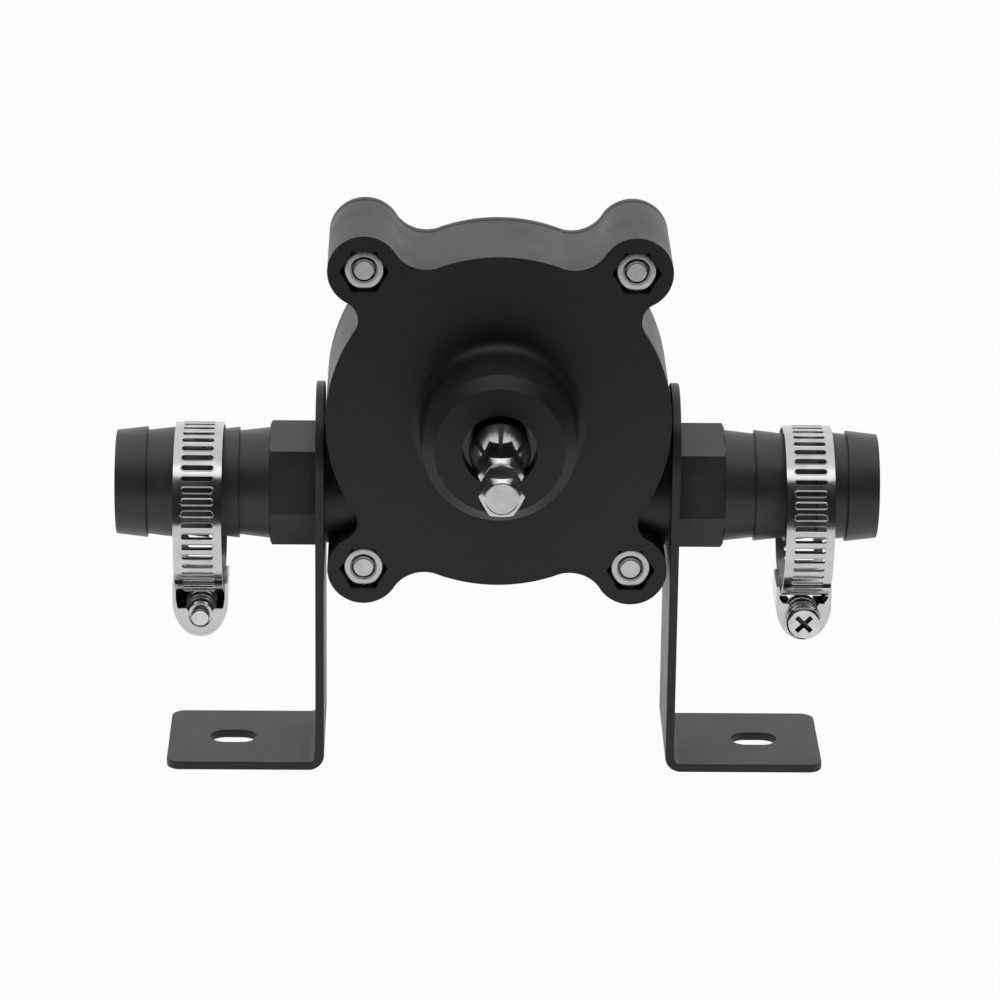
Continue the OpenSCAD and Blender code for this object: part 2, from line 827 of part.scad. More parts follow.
// Curved saddle inside the band, between the two sides of the shell
module saddle() {
    rotate([90, 0, 90]) linear_extrude(2 * (shell_half - shell_t / 2), center = true)
        intersection() {
            difference() {
                circle(band_ri);
                circle(band_ri - shell_t);
            }
            polygon([[0, 0], 2 * band_ri * [-sin(saddle_angle), -cos(saddle_angle)],
                2 * band_ri * [sin(saddle_angle), -cos(saddle_angle)]]);
        }
}

// Worm screw: a cross-slotted head, ring-shaped teeth and a plain tail
module clamp_screw() {
    worm_y = -worm_len / 2;
    head_y = -shell_len / 2 - gap - screw_head_h;
    tooth = thread_pitch;
    teeth = floor(worm_len / tooth);
    ring_points = [for (i = [0 : teeth - 1]) each [
        [screw_root_r, worm_y + i * tooth + 0.2], [worm_r, worm_y + i * tooth + 0.9],
        [worm_r, worm_y + i * tooth + 1.5], [screw_root_r, worm_y + i * tooth + 2.2]]];
    color("#c9c9c9") translate([0, 0, -screw_drop]) difference() {
        rotate([-90, 0, 0]) rotate_extrude() polygon(concat(
            [[0, head_y], [screw_head_r - 0.6, head_y], [screw_head_r, head_y + 0.6],
                [screw_head_r, head_y + screw_head_h], [screw_root_r, head_y + screw_head_h]],
            ring_points,
            [[screw_root_r, worm_y + worm_len], [screw_tail_r, worm_y + worm_len],
                [screw_tail_r, shell_len / 2 + 0.6], [screw_tail_r - 0.3, shell_len / 2 + 0.9],
                [0, shell_len / 2 + 0.9]]));
        for (turn = [45, 135]) translate([0, head_y, 0]) rotate([0, turn, 0])
            cube([2.6 * 2, 3, 1.1], center = true);
    }
}

// ---------- the part ----------

pump_housing();
nose_housing();
rear_cover();
cover_gasket();
housing_bolts();
bolt_washers();
housing_nuts();
bearing_outer_race();
bearing_shields();
bearing_ring();
shaft_seal();
seal_spring();
wear_plate();
rear_bush();
on_side(LEFT) barb(left_hex_turn);  // left_barb
on_side(RIGHT) barb(right_hex_turn);  // right_barb
on_side(LEFT) port_seal();  // left_port_seal
on_side(RIGHT) port_seal();  // right_port_seal
on_side(LEFT) bracket();  // left_bracket
on_side(RIGHT) bracket();  // right_bracket
drive_shaft();
bearing_inner_race();
impeller_hub();
impeller();
hub_pin();
bearing_balls();
bearing_cage();
at_clamp(LEFT, left_clamp_in, 1) clamp_band();  // left_clamp_band
at_clamp(LEFT, left_clamp_in, 1) clamp_shell();  // left_clamp_shell
at_clamp(LEFT, left_clamp_in, 1) clamp_screw();  // left_clamp_screw
at_clamp(RIGHT, right_clamp_in, -1) clamp_band();  // right_clamp_band
at_clamp(RIGHT, right_clamp_in, -1) clamp_shell();  // right_clamp_shell
at_clamp(RIGHT, right_clamp_in, -1) clamp_screw();  // right_clamp_screw
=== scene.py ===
import json
import math

import bmesh
import bpy
from mathutils import Matrix, Vector

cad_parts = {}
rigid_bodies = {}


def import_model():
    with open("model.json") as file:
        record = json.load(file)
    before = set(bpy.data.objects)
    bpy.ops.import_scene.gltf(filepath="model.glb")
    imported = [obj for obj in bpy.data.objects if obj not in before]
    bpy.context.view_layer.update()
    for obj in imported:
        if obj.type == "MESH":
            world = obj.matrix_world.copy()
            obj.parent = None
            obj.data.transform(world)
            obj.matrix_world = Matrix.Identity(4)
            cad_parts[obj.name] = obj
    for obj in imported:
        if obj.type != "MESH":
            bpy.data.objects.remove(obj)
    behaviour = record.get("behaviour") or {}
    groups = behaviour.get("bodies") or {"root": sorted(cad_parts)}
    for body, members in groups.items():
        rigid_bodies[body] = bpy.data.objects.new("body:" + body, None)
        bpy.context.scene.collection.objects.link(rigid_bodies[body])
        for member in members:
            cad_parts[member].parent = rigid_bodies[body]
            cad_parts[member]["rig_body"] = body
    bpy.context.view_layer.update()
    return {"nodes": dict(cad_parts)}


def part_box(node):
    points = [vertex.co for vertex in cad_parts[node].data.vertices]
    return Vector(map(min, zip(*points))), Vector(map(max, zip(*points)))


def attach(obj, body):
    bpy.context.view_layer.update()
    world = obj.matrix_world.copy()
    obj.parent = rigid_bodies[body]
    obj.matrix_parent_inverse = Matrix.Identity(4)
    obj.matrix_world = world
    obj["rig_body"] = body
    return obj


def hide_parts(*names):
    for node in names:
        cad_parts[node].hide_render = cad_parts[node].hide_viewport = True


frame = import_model()

MM = 0.001

# Places on the pump in millimetres, in the same frame as the solids
SHAFT_Z = 93.2
NOSE_Y = -38.7
FRONT_Y = -17.7
CLAMP_X = {"left": -74.3, "right": 77.5}
LOOP_Z = 64.8
SCREW_Z = 37.3


# ---------- nodes ----------

# Inputs of a node that maps one span of values to another
RANGE = ("Value", "From Min", "From Max", "To Min", "To Max")

# Colour sockets of a mix node, by number, because its other sockets have the same names
MIX_FIRST = 6
MIX_SECOND = 7
MIX_RESULT = 2


def linear(code):
    """An sRGB hex colour as linear RGBA."""
    channels = [int(code[i : i + 2], 16) / 255 for i in (1, 3, 5)]
    return [c / 12.92 if c <= 0.04045 else ((c + 0.055) / 1.055) ** 2.4 for c in channels] + [1]


def add(tree, kind, inputs=None, **settings):
    """Adds a node, sets it up, and fills its inputs with values or links."""
    node = tree.nodes.new(kind)
    for name, value in settings.items():
        setattr(node, name, value)
    for name, value in (inputs or {}).items():
        if isinstance(value, bpy.types.NodeSocket):
            tree.links.new(value, node.inputs[name])
        else:
            node.inputs[name].default_value = value
    return node


# ---------- materials ----------

# Values between which most of a noise pattern lies, and how rough its finer octaves are
NOISE_LIMITS = (0.3, 0.7)
NOISE_ROUGHNESS = 0.55


def new_material(name):
    """An empty material with its shader and the piece's own coordinates, in metres."""
    made = bpy.data.materials.new(name)
    made.use_nodes = True
    tree = made.node_tree
    tree.nodes.clear()
    shader = add(tree, "ShaderNodeBsdfPrincipled")
    add(tree, "ShaderNodeOutputMaterial", {"Surface": shader.outputs[0]})
    place = add(tree, "ShaderNodeTexCoord").outputs["Object"]
    return made, tree, shader, place


def pattern(tree, place, size_mm, detail, stretch=(1, 1, 1)):
    """Noise whose grains are about size_mm wide, drawn out along an axis by stretch."""
    mapped = add(tree, "ShaderNodeMapping", {"Vector": place, "Scale": [1 / s for s in stretch]})
    inputs = {
        "Vector": mapped.outputs[0],
        "Scale": 1 / (size_mm * MM),
        "Detail": detail,
        "Roughness": NOISE_ROUGHNESS,
    }
    return add(tree, "ShaderNodeTexNoise", inputs).outputs["Fac"]


def cover(tree, shader, value, limits, colours, rough):
    """Colour and roughness that both follow a value, as it goes from one limit to the other."""
    share = add(tree, "ShaderNodeMapRange", dict(zip(RANGE, (value, *limits, 0, 1)))).outputs[0]
    ends = {MIX_FIRST: linear(colours[0]), MIX_SECOND: linear(colours[1])}
    mixed = add(tree, "ShaderNodeMix", {"Factor": share, **ends}, data_type="RGBA")
    dull = add(tree, "ShaderNodeMapRange", dict(zip(RANGE, (value, *limits, *rough))))
    tree.links.new(mixed.outputs[MIX_RESULT], shader.inputs["Base Color"])
    tree.links.new(dull.outputs[0], shader.inputs["Roughness"])


def material(name, cloud, colours, rough, reliefs, metal=0.0, specular=0.5):
    """Colour and roughness that follow one pattern, under layers of fine relief.

    cloud gives the pattern's grain in millimetres, its detail and its stretch. A relief gives
    its depth in millimetres and its strength, and then its own pattern in the same way.
    """
    made, tree, shader, place = new_material(name)
    cover(tree, shader, pattern(tree, place, *cloud), NOISE_LIMITS, colours, rough)
    shader.inputs["Metallic"].default_value = metal
    shader.inputs["Specular IOR Level"].default_value = specular
    under = {}
    for depth_mm, strength, *grain in reliefs:
        height = pattern(tree, place, *grain)
        inputs = {"Height": height, "Distance": depth_mm * MM, "Strength": strength, **under}
        under = {"Normal": add(tree, "ShaderNodeBump", inputs).outputs[0]}
    tree.links.new(under["Normal"], shader.inputs["Normal"])
    return made


def paint_shade_over(made, share, shade_colour):
    """Paints shade of one dark colour over a finished metal, as strongly as share says, and takes
    away as much of its metal.
    """
    tree = made.node_tree
    shader = next(node for node in tree.nodes if node.type == "BSDF_PRINCIPLED")
    clean = shader.inputs["Base Color"].links[0].from_socket
    colours = {MIX_FIRST: clean, MIX_SECOND: linear(shade_colour)}
    mixed = add(tree, "ShaderNodeMix", {"Factor": share, **colours}, data_type="RGBA")
    metal = add(tree, "ShaderNodeMath", {0: 1.0, 1: share}, operation="SUBTRACT")
    tree.links.new(mixed.outputs[MIX_RESULT], shader.inputs["Base Color"])
    tree.links.new(metal.outputs[0], shader.inputs["Metallic"])


# Glass-filled nylon from a spark-eroded mould: near black, matt, with a fine even grain
NYLON = material(
    "moulded_nylon",
    cloud=(14, 2),
    colours=("#151516", "#1b1b1c"),
    rough=(0.38, 0.46),
    reliefs=[(0.03, 1.0, 0.45, 3), (0.05, 0.6, 9, 2)],
    specular=0.36,
)

# Solid black nylon, moulded and skimmed on a lathe: satin, with faint rings round the bore
BARB_NYLON = material(
    "turned_nylon",
    cloud=(10, 2),
    colours=("#2a2a2a", "#323233"),
    rough=(0.36, 0.46),
    reliefs=[(0.012, 1.0, 0.35, 2, (1, 60, 60)), (0.015, 0.8, 0.5, 3)],
    specular=0.45,
)

# Black polyester powder coat on steel: a fine orange peel that softens its gloss
COAT = material(
    "powder_coat",
    cloud=(18, 2),
    colours=("#202020", "#282829"),
    rough=(0.38, 0.46),
    reliefs=[(0.03, 1.0, 1.1, 2), (0.01, 0.8, 0.3, 2)],
    specular=0.4,
)

# Stainless strip, bright from the rolling mill, with fine lines along its length
STAINLESS = material(
    "rolled_stainless",
    cloud=(5, 3),
    colours=("#bcbcba", "#cbcbc9"),
    rough=(0.15, 0.23),
    reliefs=[(0.004, 1.0, 0.18, 2, (1, 50, 50))],
    metal=1.0,
)

# Shaft steel, turned and ground bright, with fine marks that run round the shaft
SHAFT = material(
    "ground_steel",
    cloud=(6, 3),
    colours=("#b0b0af", "#c8c8c6"),
    rough=(0.14, 0.24),
    reliefs=[(0.004, 1.0, 0.16, 2, (50, 1, 50))],
    metal=1.0,
)

# Hardened spring steel, oiled dark after heat treatment, with a drawn grain
SPRING = material(
    "blued_spring_steel",
    cloud=(1.5, 4),
    colours=("#3c3d40", "#5b5c60"),
    rough=(0.28, 0.4),
    reliefs=[(0.006, 1.0, 0.25, 3)],
    metal=1.0,
)

# Stainless sheet with the short scratches of a deburring drum
SCRATCHES = (0.2, 3, (30, 1, 1))
PLATE = material(
    "brushed_plate",
    cloud=SCRATCHES,
    colours=("#a5a5a3", "#bebebc"),
    rough=(0.25, 0.38),
    reliefs=[(0.006, 1.0, *SCRATCHES)],
    metal=1.0,
)

# Cage brass, pressed and tumbled: yellow, satin, with small dings
DINGS = (0.8, 3)
BRASS = material(
    "pressed_brass",
    cloud=DINGS,
    colours=("#a17c36", "#cfa65a"),
    rough=(0.24, 0.36),
    reliefs=[(0.01, 1.0, *DINGS)],
    metal=1.0,
)

# Steel with a bright zinc plating: cool, slightly clouded, with soft edges
PLATING = {"cloud": (2.5, 4), "reliefs": [(0.006, 1.0, 0.3, 3)], "metal": 1.0}
ZINC = material(
    "zinc_plated_steel", colours=("#a9abac", "#c6c7c7"), rough=(0.2, 0.32), **PLATING
)

# Bearing steel, ground and lapped to a mirror, with the faint rings of the grinding wheel
LAPPED = {
    "cloud": (4, 3),
    "colours": ("#a9a9a8", "#c2c2c1"),
    "rough": (0.08, 0.16),
    "reliefs": [(0.002, 1.0, 0.12, 2, (60, 1, 60))],
    "metal": 1.0,
}
BEARING = material("lapped_steel", **LAPPED)

# Moulded nitrile rubber: black, dull, with a soft grain and a light bloom
RUBBER = {"cloud": (6, 3), "specular": 0.35}
SEAL = material(
    "nitrile_seal_rubber",
    colours=("#0f0f0f", "#191919"),
    rough=(0.45, 0.6),
    reliefs=[(0.03, 1.0, 0.4, 3)],
    **RUBBER,
)
IMPELLER = material(
    "nitrile_impeller_rubber",
    colours=("#171717", "#232322"),
    rough=(0.5, 0.65),
    reliefs=[(0.03, 1.0, 0.6, 3)],
    **RUBBER,
)
GASKET = material(
    "gasket_rubber",
    colours=("#101010", "#1b1b1b"),
    rough=(0.6, 0.75),
    reliefs=[(0.03, 1.0, 0.5, 3)],
    **RUBBER,
)
SHIELD = material(
    "moulded_shield_rubber",
    colours=("#141414", "#1f1f1f"),
    rough=(0.4, 0.5),
    reliefs=[(0.03, 1.0, 0.3, 3)],
    **RUBBER,
)

# Where shade is painted in a clamp screw's cross recess: how far from the screw's axis it reaches,
# and how far from the middle of the clamp it starts and ends, in millimetres, faded over a short
# way
SHADE_REACH = (2.75, 2.85)
SHADE_FLOOR = (7.4, 7.5)
SHADE_RIM = (9.0, 9.2)


def recess_shaded_screw_steel(side):
    """Zinc-plated screw steel, with painted shade in the cross recess of the head."""
    name = f"{side}_zinc_plated_screw_steel"
    made = material(name, colours=("#bbbcbc", "#dadada"), rough=(0.16, 0.28), **PLATING)
    tree = made.node_tree
    place = add(tree, "ShaderNodeTexCoord").outputs["Object"]
    axis = (CLAMP_X[side] * MM, 0, SCREW_Z * MM)
    offset = add(tree, "ShaderNodeVectorMath", {0: place, 1: axis}, operation="SUBTRACT")
    spoke = {0: offset.outputs[0], 1: (1, 0, 1)}
    spoke = add(tree, "ShaderNodeVectorMath", spoke, operation="MULTIPLY").outputs[0]
    radius = add(tree, "ShaderNodeVectorMath", {0: spoke}, operation="LENGTH").outputs["Value"]
    along = add(tree, "ShaderNodeSeparateXYZ", {"Vector": place}).outputs["Y"]
    depth = add(tree, "ShaderNodeMath", {0: along}, operation="ABSOLUTE").outputs[0]
    share = 1.0
    for value, limits, ends in (
        (radius, SHADE_REACH, (1, 0)),
        (depth, SHADE_RIM, (1, 0)),
        (depth, SHADE_FLOOR, (0, 1)),
    ):
        start, end = (limit * MM for limit in limits)
        mask = add(tree, "ShaderNodeMapRange", dict(zip(RANGE, (value, start, end, *ends))))
        masks = {0: share, 1: mask.outputs[0]}
        share = add(tree, "ShaderNodeMath", masks, operation="MULTIPLY").outputs[0]
    # Painted shade: the walls of the recess are darkened where shade would fall.
    paint_shade_over(made, share, "#1b1a19")
    return made


SCREW_STEEL = {side: recess_shaded_screw_steel(side) for side in ("left", "right")}

# Along Y in millimetres, where the painted shade on the front of the bearing ends
FRONT_SHADE_END = (-35.5, -35.2)


def front_shaded_bearing_steel():
    """Lapped bearing steel whose outer face is darkened with painted shade."""
    made = material("front_shaded_bearing_steel", **LAPPED)
    tree = made.node_tree
    place = add(tree, "ShaderNodeTexCoord").outputs["Object"]
    along = add(tree, "ShaderNodeSeparateXYZ", {"Vector": place}).outputs["Y"]
    start, end = (limit * MM for limit in FRONT_SHADE_END)
    share = add(tree, "ShaderNodeMapRange", dict(zip(RANGE, (along, start, end, 1, 0))))
    # Painted shade: the front face of the race is darkened where shade would fall.
    paint_shade_over(made, share.outputs[0], "#141210")
    return made


FRONT_SHADED_BEARING = front_shaded_bearing_steel()

PORE_MM = 0.35
PORE_LIMITS = (0.05, 0.5)
PORE_DEPTH_MM = 0.02


def sintered_bronze():
    """Oil-filled sintered bronze: warm, dull, and speckled by its pores."""
    made, tree, shader, place = new_material("sintered_bronze")
    pores = add(tree, "ShaderNodeTexVoronoi", {"Vector": place, "Scale": 1 / (PORE_MM * MM)})
    height = pores.outputs["Distance"]
    cover(tree, shader, height, PORE_LIMITS, ("#6b4a22", "#b98a4e"), (0.5, 0.34))
    inputs = {"Height": height, "Distance": PORE_DEPTH_MM * MM, "Strength": 1.0}
    tree.links.new(add(tree, "ShaderNodeBump", inputs).outputs[0], shader.inputs["Normal"])
    shader.inputs["Metallic"].default_value = 1.0
    return made


BRONZE = sintered_bronze()


# ---------- making pieces ----------


# Points closer than MERGE are one, in millimetres; faces that meet at less than FLAT are one, and
# shading runs on over edges of up to SMOOTH, in degrees
MERGE = 0.0005
FLAT = 0.5
SMOOTH = 32


def piece(name, bm, body, look, nodes, smooth=SMOOTH):
    """Turns a bmesh in millimetres into a finished piece that rides on its body."""
    bmesh.ops.remove_doubles(bm, verts=bm.verts, dist=MERGE)
    bmesh.ops.recalc_face_normals(bm, faces=bm.faces)
    bm.transform(Matrix.Scale(MM, 4))
    mesh = bpy.data.meshes.new(name)
    bm.to_mesh(mesh)
    bm.free()
    if "custom_normal" in mesh.attributes:
        mesh.attributes.remove(mesh.attributes["custom_normal"])
    for face in mesh.polygons:
        face.use_smooth = True
    mesh.set_sharp_from_angle(angle=math.radians(smooth))
    mesh.materials.append(look)
    made = bpy.data.objects.new(name, mesh)
    bpy.context.scene.collection.objects.link(made)
    shading = made.modifiers.new("flat_faces_first", "WEIGHTED_NORMAL")
    shading.keep_sharp = True
    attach(made, body)
    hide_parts(*nodes)


def solid_of(node):
    """A CAD node's mesh in millimetres, merged, with the triangles of its flat faces joined."""
    bm = bmesh.new()
    bm.from_mesh(frame["nodes"][node].data)
    bm.transform(Matrix.Scale(1 / MM, 4))
    bmesh.ops.remove_doubles(bm, verts=bm.verts, dist=MERGE)
    limit = math.radians(FLAT)
    bmesh.ops.dissolve_limit(bm, angle_limit=limit, verts=bm.verts, edges=bm.edges)
    return bm


def ease(bm, angle, width):
    """Rounds off the edges whose faces meet at angle degrees or more."""
    limit = math.radians(angle)
    sharp = [
        edge
        for edge in bm.edges
        if len(edge.link_faces) == 2 and edge.calc_face_angle(0) >= limit
    ]
    bmesh.ops.bevel(
        bm,
        geom=sharp,
        offset=width,
        offset_type="OFFSET",
        segments=2,
        profile=0.5,
        affect="EDGES",
        clamp_overlap=True,
        material=-1,
    )


def finished(node, name, look, width=0.0, angle=30):
    """A piece made from a CAD node, with its sharp edges eased where a width is given."""
    bm = solid_of(node)
    if width:
        ease(bm, angle, width)
    piece(name, bm, frame["nodes"][node]["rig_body"], look, [node])


# ---------- lofts ----------


def edges_of(verts):
    """The edges that join the given vertices."""
    return list(dict.fromkeys(edge for vert in verts for edge in vert.link_edges))


def extend(bm, edges):
    """Extrudes a row of edges in place, and gives the new edges and vertices."""
    grown = bmesh.ops.extrude_edge_only(bm, edges=edges)["geom"]
    verts = [item for item in grown if isinstance(item, bmesh.types.BMVert)]
    fresh = set(verts)
    copies = [
        item
        for item in grown
        if isinstance(item, bmesh.types.BMEdge) and fresh.issuperset(item.verts)
    ]
    return copies, verts


def set_section(verts, height, radius):
    """Puts a loop round the Z axis; radius may follow the angle, and height the radius."""
    for vert in verts:
        angle = math.atan2(vert.co.y, vert.co.x)
        reach = radius(angle) if callable(radius) else radius
        rise = height(reach) if callable(height) else height
        vert.co = (reach * math.cos(angle), reach * math.sin(angle), rise)


def loft(bm, sections, count, start_cap=False, end_cap=False):
    """Skins a row of (height, radius) sections, with a flat cap at either end where asked."""
    verts = bmesh.ops.create_circle(bm, segments=count, radius=1)["verts"]
    start = edges = edges_of(verts)
    set_section(verts, *sections[0])
    for height, radius in sections[1:]:
        edges, verts = extend(bm, edges)
        set_section(verts, height, radius)
    if start_cap:
        bmesh.ops.edgeloop_fill(bm, edges=start)
    if end_cap:
        bmesh.ops.edgeloop_fill(bm, edges=edges)


def hexagon(across):
    """Radius of a hexagon with this width across its flats, by angle."""

    def radius(angle):
        off_flat = (angle + math.pi / 6) % (math.pi / 3) - math.pi / 6
        return across / 2 / math.cos(off_flat)

    return radius


def crown(start, flat_radius, slope):
    """Height of a face that falls away outside a flat circle, as on a chamfered nut."""
    return lambda radius: start + slope * max(0.0, radius - flat_radius)


def facing_front(bm, x, y, z, turn=0.0):
    """Stands a loft made along +Z along +Y, so that its foot faces the front."""
    bmesh.ops.rotate(bm, matrix=Matrix.Rotation(turn, 3, "Z"), verts=bm.verts)
    bmesh.ops.rotate(bm, matrix=Matrix.Rotation(-math.pi / 2, 3, "X"), verts=bm.verts)
    bmesh.ops.translate(bm, vec=(x, y, z), verts=bm.verts)


def gather(bm, part):
    """Moves the geometry of part into bm."""
    mesh = bpy.data.meshes.new("part")
    part.to_mesh(mesh)
    part.free()
    bm.from_mesh(mesh)
    bpy.data.meshes.remove(mesh)


# ---------- bolts, nuts and shaft ----------

# In millimetres, as all sizes up to the studio
BOLT_X = 33.2
BOLT_Z = 38.6
BOLT_PLACES = [(x, SHAFT_Z + z) for x in (-BOLT_X, BOLT_X) for z in (-BOLT_Z, BOLT_Z)]
BOLT_R = 3.0
BOLT_END_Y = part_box("housing_bolts")[0][1] / MM
BOLT_BACK_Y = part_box("housing_bolts")[1][1] / MM
BOLT_SIDES = 72
CHAMFER = math.tan(math.radians(30))

NUT_AF = 10.0
NUT_H = 5.0
NUT_Y = FRONT_Y + 1.5
NUT_FACE_R = 0.465 * NUT_AF
NUT_FLAT_R = NUT_FACE_R - 0.25
NUT_DROP = 0.04
NUT_BORE_R = BOLT_R + 0.02
NUT_SINK_R = NUT_BORE_R + 0.4
NUT_SINK_DEPTH = 0.45
NUT_SEAM = 0.8

THREAD_ROOT_R = BOLT_R - 0.35
THREAD_START = 0.75
THREAD_PITCH = 1.0
THREAD_TURNS = 12
THREAD_RUNOUT = 0.25
CREST = (0.44, 0.56)
TIP_FLAT_R = BOLT_R - 0.75
TIP_R = BOLT_R - 0.6
TIP_DROP = 0.08

HEAD_AF = 10.0
HEAD_H = 4.0
HEAD_FLARE = 0.05
HEAD_FOOT_R = 0.46 * HEAD_AF
HEAD_FACE_R = 0.465 * HEAD_AF
HEAD_DISH_R = 0.3 * HEAD_AF
HEAD_FLOOR_R = 0.28 * HEAD_AF
HEAD_DISH_DEPTH = 0.25


def nuts():
    """Four hexagon nuts: a flat ring, a chamfer over the corners and a countersunk thread."""
    bm = bmesh.new()
    sides = hexagon(NUT_AF)
    face = crown(NUT_DROP, NUT_FACE_R, CHAMFER)
    for x, z in BOLT_PLACES:
        nut = bmesh.new()
        loft(
            nut,
            [
                (NUT_SEAM, NUT_BORE_R),
                (NUT_SINK_DEPTH, NUT_BORE_R),
                (0.0, NUT_SINK_R),
                (0.0, NUT_FLAT_R),
                (NUT_DROP, NUT_FACE_R),
                (face, sides),
                (lambda r: NUT_H - face(r), sides),
                (NUT_H, NUT_FACE_R),
                (NUT_H, NUT_BORE_R),
                (NUT_SEAM, NUT_BORE_R),
            ],
            BOLT_SIDES,
        )
        facing_front(nut, x, NUT_Y, z)
        gather(bm, nut)
    piece("nuts", bm, "pump", ZINC, ["housing_nuts"], smooth=20)


def bolts():
    """Four hexagon-head bolts whose chamfered, threaded ends show in the nuts."""
    bm = bmesh.new()
    reach = BOLT_BACK_Y - BOLT_END_Y
    head_foot = reach - HEAD_H
    thread_end = THREAD_START + THREAD_TURNS * THREAD_PITCH
    sides = hexagon(HEAD_AF)
    face = crown(0.0, HEAD_FACE_R, CHAMFER)
    ridges = []
    for turn in range(THREAD_TURNS):
        foot = THREAD_START + turn * THREAD_PITCH
        ridges += [(foot, THREAD_ROOT_R)] + [(foot + rise, BOLT_R) for rise in CREST]
    for x, z in BOLT_PLACES:
        bolt = bmesh.new()
        loft(
            bolt,
            [
                (0.0, TIP_FLAT_R),
                (TIP_DROP, TIP_R),
                *ridges,
                (thread_end, THREAD_ROOT_R),
                (thread_end + THREAD_RUNOUT, BOLT_R),
                (head_foot, BOLT_R),
                (head_foot, HEAD_FOOT_R),
                (head_foot + HEAD_FLARE, sides),
                (lambda r: reach - face(r), sides),
                (reach, HEAD_FACE_R),
                (reach, HEAD_DISH_R),
                (reach - HEAD_DISH_DEPTH, HEAD_FLOOR_R),
            ],
            BOLT_SIDES,
            start_cap=True,
            end_cap=True,
        )
        facing_front(bolt, x, BOLT_END_Y, z)
        gather(bm, bolt)
    piece("bolts", bm, "pump", ZINC, ["housing_bolts"], smooth=25)


SHAFT_TIP_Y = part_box("drive_shaft")[0][1] / MM
SHAFT_SIDES = 96
SHANK_AF = 9.5
TIP_FACE_R = 3.73
TIP_MARK_R = (3.75, 3.99)
TIP_MARK_DEPTH = 0.6
TIP_RIM_R = 4.01
TIP_RIM_DROP = 0.05
GROOVE_R = 3.9
GROOVE_START = 10.0
GROOVE_END = 14.4
CONE_START = 26.2
CONE_LEN = 6.0
JOURNAL_R = 7.5


def drive_shaft():
    """The hexagon shank with its turned end, snap groove and cone, joined to the shaft behind."""
    bm = bmesh.new()
    flat_r = SHANK_AF / 2
    shank = hexagon(SHANK_AF)
    cone_slope = CONE_LEN / (JOURNAL_R - flat_r)
    mark_inner, mark_outer = TIP_MARK_R
    loft(
        bm,
        [
            (0.0, TIP_FACE_R),
            (TIP_MARK_DEPTH, mark_inner),
            (TIP_MARK_DEPTH, mark_outer),
            (TIP_RIM_DROP, TIP_RIM_R),
            (crown(TIP_RIM_DROP, TIP_RIM_R, 1.0), shank),
            (lambda r: GROOVE_START - (r - GROOVE_R), shank),
            (GROOVE_START, GROOVE_R),
            (GROOVE_END, GROOVE_R),
            (lambda r: GROOVE_END + (r - GROOVE_R), shank),
            (crown(CONE_START, flat_r, cone_slope), shank),
            (CONE_START + CONE_LEN, JOURNAL_R),
        ],
        SHAFT_SIDES,
        start_cap=True,
    )
    facing_front(bm, 0, SHAFT_TIP_Y, SHAFT_Z, math.pi / 6)
    rear = solid_of("drive_shaft")
    bmesh.ops.bisect_plane(
        rear,
        geom=list(rear.verts) + list(rear.edges) + list(rear.faces),
        plane_co=(0, NOSE_Y, 0),
        plane_no=(0, 1, 0),
        clear_inner=True,
    )
    gather(bm, rear)
    open_ends = [edge for edge in bm.edges if len(edge.link_faces) == 1]
    bmesh.ops.bridge_loops(bm, edges=open_ends)
    piece("shaft", bm, "rotor", SHAFT, ["drive_shaft"], smooth=25)


# ---------- hose clamps ----------

BAND_R = 21.0
BAND_T = 0.6
BAND_W = 12.0
SLOTS = 45
LAP_SLOTS = 11
LAP_GAP = 0.02
SLOT_LEN = 7.8
SLOT_W = 1.3
SLOT_POINTS = 20
BAND_MERGE = 0.001

# The pressed rim of a slot, from outside in: growth of the outline, and height over the band
SLOT_RIM = ((0.34, 0.0), (0.22, 0.05), (0.1, 0.05), (0.0, -0.03), (0.0, -BAND_T))


def set_slot(verts, grow, height):
    """Puts a round-ended slot outline across the band, grown all round by grow, at a height."""
    half = (SLOT_LEN - SLOT_W) / 2
    for vert in verts:
        centre = math.copysign(half, vert.co.x)
        spoke = Vector((vert.co.x - centre, vert.co.y, 0)).normalized() * (SLOT_W / 2 + grow)
        vert.co = (centre + spoke.x, spoke.y, height)


def small_loop(bm):
    """A small circle whose points lie evenly on either side of both axes."""
    verts = bmesh.ops.create_circle(bm, segments=SLOT_POINTS, radius=SLOT_W / 2)["verts"]
    turn = Matrix.Rotation(math.pi / SLOT_POINTS, 3, "Z")
    bmesh.ops.rotate(bm, matrix=turn, verts=verts)
    return verts


def pitch_loop(bm, pitch, height):
    """The outline of one pitch of band, with as many points as a slot outline."""
    verts = small_loop(bm)
    for vert in verts:
        stretch = 1 / max(abs(vert.co.x), abs(vert.co.y))
        vert.co = (vert.co.x * stretch * BAND_W / 2, vert.co.y * stretch * pitch / 2, height)
    return edges_of(verts)


def band_cell(bm, radius):
    """One flat pitch of perforated band: a slot whose pressed rim stands a little proud."""
    pitch = 2 * math.pi * radius / SLOTS
    verts = small_loop(bm)
    for vert in verts:
        vert.co.x += math.copysign((SLOT_LEN - SLOT_W) / 2, vert.co.x)
    upper = lower = edges_of(verts)
    set_slot(verts, *SLOT_RIM[0])
    for grow, height in SLOT_RIM[1:]:
        lower, verts = extend(bm, lower)
        set_slot(verts, grow, height)
    outside = pitch_loop(bm, pitch, 0.0)
    inside = pitch_loop(bm, pitch, -BAND_T)
    bmesh.ops.triangle_fill(bm, edges=outside + upper, use_beauty=True)
    bmesh.ops.triangle_fill(bm, edges=inside + lower, use_beauty=True)
    for end in (-1, 1):
        side = [
            edge
            for edge in outside + inside
            if all(vert.co.x * end > BAND_W / 2 - BAND_MERGE for vert in edge.verts)
        ]
        bmesh.ops.bridge_loops(bm, edges=side)


def wrap(bm, radius):
    """Rolls a flat strip that runs along Y round the X axis."""
    for vert in bm.verts:
        angle = vert.co.y / radius
        reach = radius + vert.co.z
        vert.co.y = reach * math.sin(angle)
        vert.co.z = reach * math.cos(angle)


